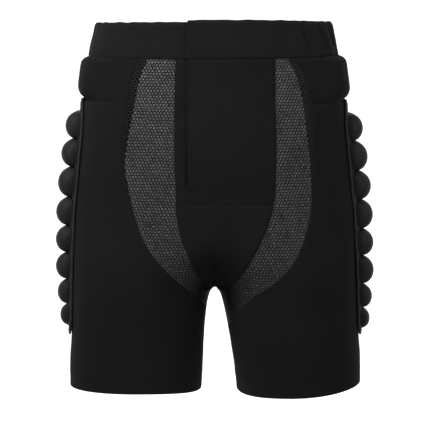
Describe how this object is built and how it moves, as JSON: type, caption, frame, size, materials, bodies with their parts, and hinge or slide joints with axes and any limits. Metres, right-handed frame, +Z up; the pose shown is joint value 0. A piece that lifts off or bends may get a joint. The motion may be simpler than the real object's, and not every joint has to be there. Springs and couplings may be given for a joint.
{
  "type": "padded hip protection shorts",
  "caption": "Close-fitting padded shorts with an elastic lapped waistband, curved net strips at the front and a domed foam-pod pad over each hip.",
  "frame": {"origin": "middle of the waist opening, at half the waistband's height", "axes": "+Z up through the waist opening, -Y to the front of the garment, +X to the wearer's left"},
  "size_m": [0.3783, 0.235, 0.4406],
  "materials": {
    "elastic": "black ribbed elastic, matt",
    "cloth": "black stretch knit, matt with a faint sheen",
    "net": "black open knitted net that reads dark grey",
    "covered_foam": "black foam with a smooth cloth cover, satin",
    "binding": "black woven edge tape, satin"
  },
  "bodies": {
    "root": {"waistband": "elastic", "front_panel_under": "cloth", "front_panel_over": "cloth", "crotch_panel": "cloth", "net_strip_right": "net", "net_strip_left": "net", "front_leg_panel_right": "cloth", "front_leg_panel_left": "cloth", "back_leg_panel_right": "cloth", "back_leg_panel_left": "cloth", "hip_pad_right": "covered_foam", "hip_pad_left": "covered_foam", "pad_binding_right": "binding", "pad_binding_left": "binding"}
  },
  "joints": []
}
